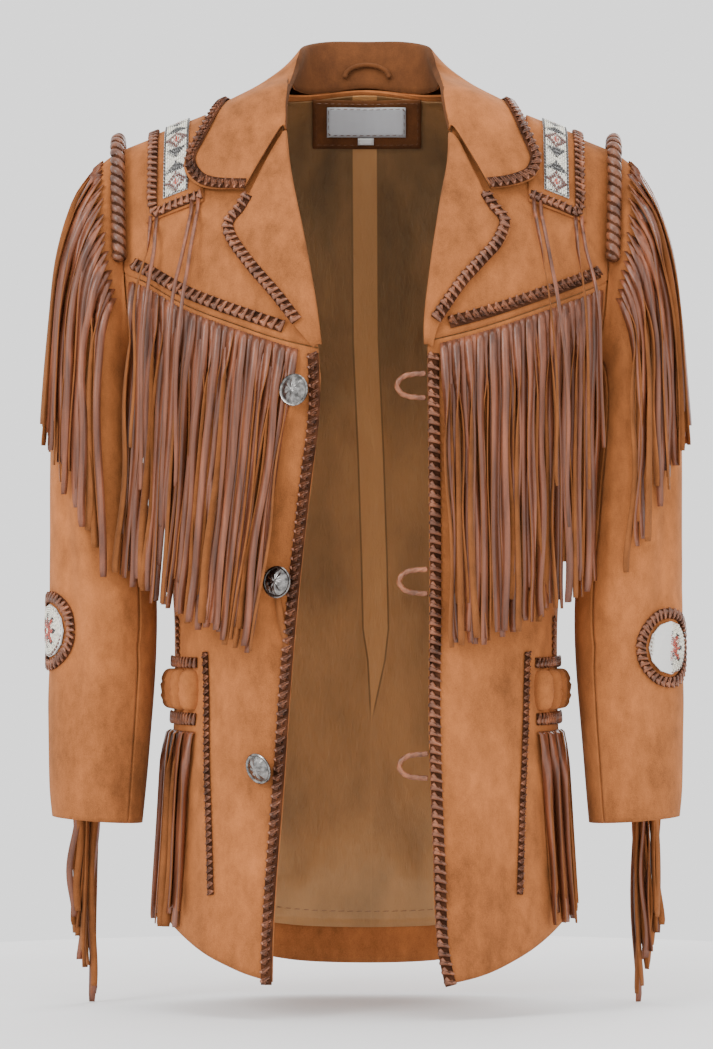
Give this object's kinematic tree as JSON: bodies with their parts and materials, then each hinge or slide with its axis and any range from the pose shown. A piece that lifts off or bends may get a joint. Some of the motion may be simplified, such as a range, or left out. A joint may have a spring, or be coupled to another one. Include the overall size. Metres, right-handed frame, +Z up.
{
  "type": "fringed suede coat",
  "caption": "Hip-length suede coat, hollow as worn with its fronts open: notched collar, plaited leather edging, long fringe, beaded shoulder strips and plaited pockets",
  "frame": {"origin": "midway between the shoulder tips, above the ridge line of the shoulders, where the wearer holds the coat up", "axes": "+Z up the back of the coat, -Y out of the front, +X towards the wearer's left"},
  "size_m": [0.5959, 0.2746, 0.8939],
  "materials": {
    "suede": "napped suede",
    "dark_suede": "napped suede, darker",
    "satin": "satin sheen",
    "fringe_leather": "smooth on one face, suede on the other",
    "plaited_leather": "smooth, plaited",
    "glass_beads": "opaque seed beads in rows",
    "antique_metal": "antiqued silver colour, hammered",
    "woven_tape": "plain weave, bare"
  },
  "bodies": {
    "root": {"back": "suede", "collar": "suede", "front_r": "suede", "front_yoke_r": "suede", "lapel_r": "suede", "sleeve_upper_r": "suede", "epaulette_r": "suede", "pocket_rolls_r": "suede", "front_l": "suede", "front_yoke_l": "suede", "lapel_l": "suede", "sleeve_upper_l": "suede", "epaulette_l": "suede", "pocket_rolls_l": "suede", "label_patch": "dark_suede", "sleeve_under_r": "dark_suede", "sleeve_under_l": "dark_suede", "back_lining": "satin", "yoke_fringe_r": "fringe_leather", "armhole_fringe_r": "fringe_leather", "sleeve_fringe_r": "fringe_leather", "pocket_fringe_r": "fringe_leather", "epaulette_thongs_r": "fringe_leather", "armhole_roll_r": "fringe_leather", "yoke_fringe_l": "fringe_leather", "armhole_fringe_l": "fringe_leather", "sleeve_fringe_l": "fringe_leather", "pocket_fringe_l": "fringe_leather", "epaulette_thongs_l": "fringe_leather", "armhole_roll_l": "fringe_leather", "collar_plait": "plaited_leather", "hanger_loop": "plaited_leather", "loop_1": "plaited_leather", "loop_2": "plaited_leather", "loop_3": "plaited_leather", "lapel_plait_r": "plaited_leather", "edge_plait_r": "plaited_leather", "yoke_plait_r": "plaited_leather", "pocket_welt_r": "plaited_leather", "pocket_band_upper_r": "plaited_leather", "pocket_band_lower_r": "plaited_leather", "elbow_ring_r": "plaited_leather", "epaulette_frame_r": "plaited_leather", "lapel_plait_l": "plaited_leather", "edge_plait_l": "plaited_leather", "yoke_plait_l": "plaited_leather", "pocket_welt_l": "plaited_leather", "pocket_band_upper_l": "plaited_leather", "pocket_band_lower_l": "plaited_leather", "elbow_ring_l": "plaited_leather", "epaulette_frame_l": "plaited_leather", "bead_strip_r": "glass_beads", "elbow_disc_r": "glass_beads", "bead_strip_l": "glass_beads", "elbow_disc_l": "glass_beads", "button_1": "antique_metal", "button_2": "antique_metal", "button_3": "antique_metal", "woven_label": "woven_tape", "size_tab": "woven_tape"}
  },
  "joints": []
}
